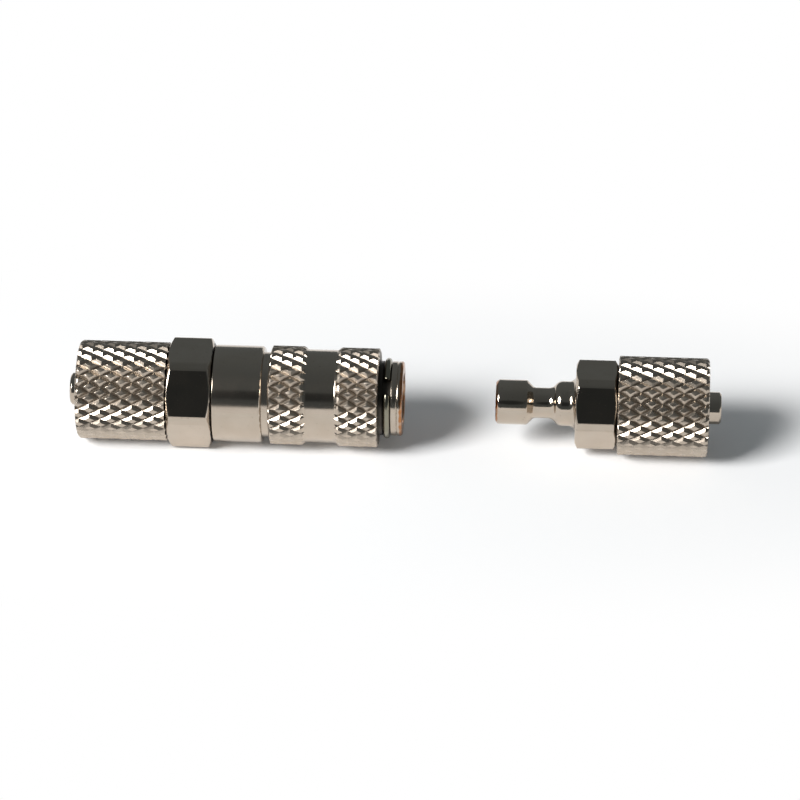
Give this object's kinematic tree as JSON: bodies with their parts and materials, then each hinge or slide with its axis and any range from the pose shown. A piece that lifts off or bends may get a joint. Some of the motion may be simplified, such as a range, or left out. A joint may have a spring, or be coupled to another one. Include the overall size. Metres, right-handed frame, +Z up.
{
  "type": "quick coupler",
  "caption": "Miniature ball-lock quick coupler for plastic tube: a knurled-sleeve socket with a spring valve and a grooved plug, each with a knurled tube nut.",
  "frame": {"origin": "middle of the pair's length and width, on the surface that it lies on", "axes": "+X along the common axis from the socket's tube end to the plug's tube end, +Z up"},
  "size_m": [0.0726, 0.0122, 0.011],
  "materials": {
    "knurled_nickel": "bright nickel plate over brass",
    "turned_nickel": "bright nickel plate over brass",
    "bare_brass": "turned, uncoated",
    "spring_steel": "drawn wire",
    "ball_steel": "polished",
    "seal_rubber": "matt black"
  },
  "bodies": {
    "socket": {"tail_fitting": "turned_nickel", "tail_seal": "seal_rubber", "socket_body": "turned_nickel", "plug_seal": "seal_rubber", "sleeve_spring": "spring_steel", "valve_spring": "spring_steel", "snap_ring": "spring_steel"},
    "sleeve": {"lock_sleeve": "knurled_nickel"},
    "poppet": {"valve_poppet": "bare_brass", "valve_seal": "seal_rubber"},
    "socket_nut": {"socket_tube_nut": "knurled_nickel"},
    "plug": {"plug_body": "turned_nickel"},
    "plug_nut": {"plug_tube_nut": "knurled_nickel"},
    "ball_1": {"lock_ball_1": "ball_steel"},
    "ball_2": {"lock_ball_2": "ball_steel"},
    "ball_3": {"lock_ball_3": "ball_steel"},
    "ball_4": {"lock_ball_4": "ball_steel"},
    "ball_5": {"lock_ball_5": "ball_steel"},
    "ball_6": {"lock_ball_6": "ball_steel"}
  },
  "joints": [
    {"name": "plug_slide", "type": "slide", "parent": "socket", "child": "plug", "axis": [-1, 0, 0], "range_m": [0, 0.0188]},
    {"name": "sleeve_slide", "type": "slide", "parent": "socket", "child": "sleeve", "axis": [1, 0, 0], "range_m": [0, 0.0005], "deforming": ["sleeve_spring"]},
    {"name": "poppet_slide", "type": "slide", "parent": "socket", "child": "poppet", "axis": [-1, 0, 0], "range_m": [0, 0.00302], "deforming": ["valve_spring"]},
    {"name": "socket_nut_turn", "type": "hinge", "parent": "socket", "child": "socket_nut", "pos_m": [-0.02516, 0, 0.0055], "axis": [1, 0, 0], "continuous": true},
    {"name": "plug_nut_turn", "type": "hinge", "parent": "plug", "child": "plug_nut", "pos_m": [0.02476, 0, 0.0055], "axis": [1, 0, 0], "continuous": true},
    {"name": "ball_1_slide", "type": "slide", "parent": "socket", "child": "ball_1", "axis": [0, 0, -1], "range_m": [0, 0.0005]},
    {"name": "ball_2_slide", "type": "slide", "parent": "socket", "child": "ball_2", "axis": [0, 0.866, -0.5], "range_m": [0, 0.0005]},
    {"name": "ball_3_slide", "type": "slide", "parent": "socket", "child": "ball_3", "axis": [0, 0.866, 0.5], "range_m": [0, 0.0005]},
    {"name": "ball_4_slide", "type": "slide", "parent": "socket", "child": "ball_4", "axis": [0, 0, 1], "range_m": [0, 0.0005]},
    {"name": "ball_5_slide", "type": "slide", "parent": "socket", "child": "ball_5", "axis": [0, -0.866, 0.5], "range_m": [0, 0.0005]},
    {"name": "ball_6_slide", "type": "slide", "parent": "socket", "child": "ball_6", "axis": [0, -0.866, -0.5], "range_m": [0, 0.0005]}
  ],
  "couplings": [
    {"joint": "poppet_slide", "follows": "plug_slide", "ratio": 0.16055},
    {"joint": "ball_1_slide", "follows": "sleeve_slide", "ratio": 1},
    {"joint": "ball_2_slide", "follows": "sleeve_slide", "ratio": 1},
    {"joint": "ball_3_slide", "follows": "sleeve_slide", "ratio": 1},
    {"joint": "ball_4_slide", "follows": "sleeve_slide", "ratio": 1},
    {"joint": "ball_5_slide", "follows": "sleeve_slide", "ratio": 1},
    {"joint": "ball_6_slide", "follows": "sleeve_slide", "ratio": 1}
  ]
}
